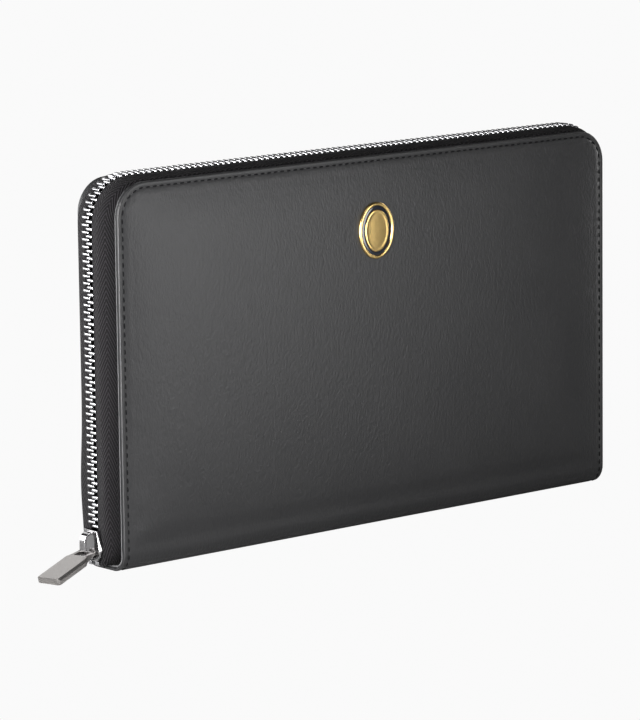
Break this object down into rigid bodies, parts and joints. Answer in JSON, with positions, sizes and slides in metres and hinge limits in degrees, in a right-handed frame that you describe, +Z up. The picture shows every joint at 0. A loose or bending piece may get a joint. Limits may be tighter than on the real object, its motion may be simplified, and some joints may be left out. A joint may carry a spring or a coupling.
{
  "type": "travel document organizer",
  "caption": "Zip-round leather travel document organizer with padded covers, card slots, passport and ticket pockets and a zipped leaf.",
  "frame": {"origin": "middle of the flat base under the spine, on the surface that the organizer stands on", "axes": "+X along the long side away from the closed slider, -Y out of the front cover with the badge, +Z up"},
  "size_m": [0.2676, 0.0274, 0.1385],
  "materials": {
    "outer_leather": "smooth fine-grained black calf leather with a satin finish",
    "facing_leather": "thin black leather with a painted edge",
    "pocket_leather": "thin smooth black leather",
    "lining": "black twill lining",
    "board": "stiffener board",
    "foam": "thin padding",
    "zip_tape": "dark herringbone zip tape",
    "teeth_metal": "polished nickel",
    "slider_metal": "polished dark nickel",
    "pull_metal": "brushed gunmetal",
    "badge_gold": "polished gold plate",
    "badge_enamel": "plain dark enamel"
  },
  "bodies": {
    "spine": {"spine_leather": "outer_leather", "spine_facing": "facing_leather", "spine_board": "board", "spine_lining": "lining", "zip_top_stops": "teeth_metal", "zip_bottom_stop": "teeth_metal"},
    "front_cover": {"front_leather": "outer_leather", "front_foam": "foam", "front_board": "board", "front_facing": "facing_leather", "front_lining": "lining", "front_tape": "zip_tape", "front_teeth": "teeth_metal", "badge_plate": "badge_gold", "badge_inlay": "badge_enamel", "badge_pins": "badge_gold", "front_slip_pocket": "pocket_leather", "card_slot_left_1": "pocket_leather", "card_slot_left_2": "pocket_leather", "card_slot_left_3": "pocket_leather", "card_slot_left_4": "pocket_leather", "card_slot_right_1": "pocket_leather", "card_slot_right_2": "pocket_leather", "card_slot_right_3": "pocket_leather", "card_slot_right_4": "pocket_leather"},
    "back_cover": {"back_leather": "outer_leather", "back_foam": "foam", "back_board": "board", "back_facing": "facing_leather", "back_lining": "lining", "back_tape": "zip_tape", "back_teeth": "teeth_metal", "boarding_pass_pocket": "pocket_leather", "passport_pocket": "pocket_leather", "ticket_pocket": "pocket_leather"},
    "coin_leaf": {"leaf_hinge_strip": "pocket_leather", "leaf_welt": "pocket_leather", "leaf_front_panel": "pocket_leather", "leaf_back_panel": "pocket_leather", "coin_tapes": "zip_tape", "coin_teeth": "teeth_metal", "coin_stops": "teeth_metal"},
    "coin_slider": {"coin_slider_body": "slider_metal", "coin_slider_bridge": "slider_metal", "coin_pull": "pull_metal"},
    "slider": {"slider_body": "slider_metal", "slider_bridge": "slider_metal"},
    "pull_tab": {"pull_tab": "pull_metal"}
  },
  "joints": [
    {"name": "front_open", "type": "hinge", "parent": "spine", "child": "front_cover", "pos_m": [0, -0.0102, 0.0013], "axis": [1, 0, 0], "range_deg": [0, 90]},
    {"name": "back_open", "type": "hinge", "parent": "spine", "child": "back_cover", "pos_m": [0, 0.0102, 0.0013], "axis": [-1, 0, 0], "range_deg": [0, 90]},
    {"name": "leaf_turn", "type": "hinge", "parent": "spine", "child": "coin_leaf", "pos_m": [0, 0, 0.00425], "axis": [1, 0, 0], "range_deg": [0, 57.6]},
    {"name": "coin_slide", "type": "slide", "parent": "coin_leaf", "child": "coin_slider", "axis": [1, 0, 0], "range_m": [0, 0.174], "deforming": ["coin_teeth"]},
    {"name": "slider_run", "type": "slide", "parent": "spine", "child": "slider", "axis": [0, 0, 1], "range_m": [0, 0.105], "deforming": ["front_teeth", "back_teeth", "front_tape", "back_tape"]},
    {"name": "pull_swing", "type": "hinge", "parent": "slider", "child": "pull_tab", "pos_m": [-0.12375, 0, 0.0069], "axis": [-0.2756, 0.9613, 0], "range_deg": [-70, 60]}
  ],
  "couplings": [
    {"joint": "leaf_turn", "follows": "front_open", "ratio": 0.64}
  ]
}
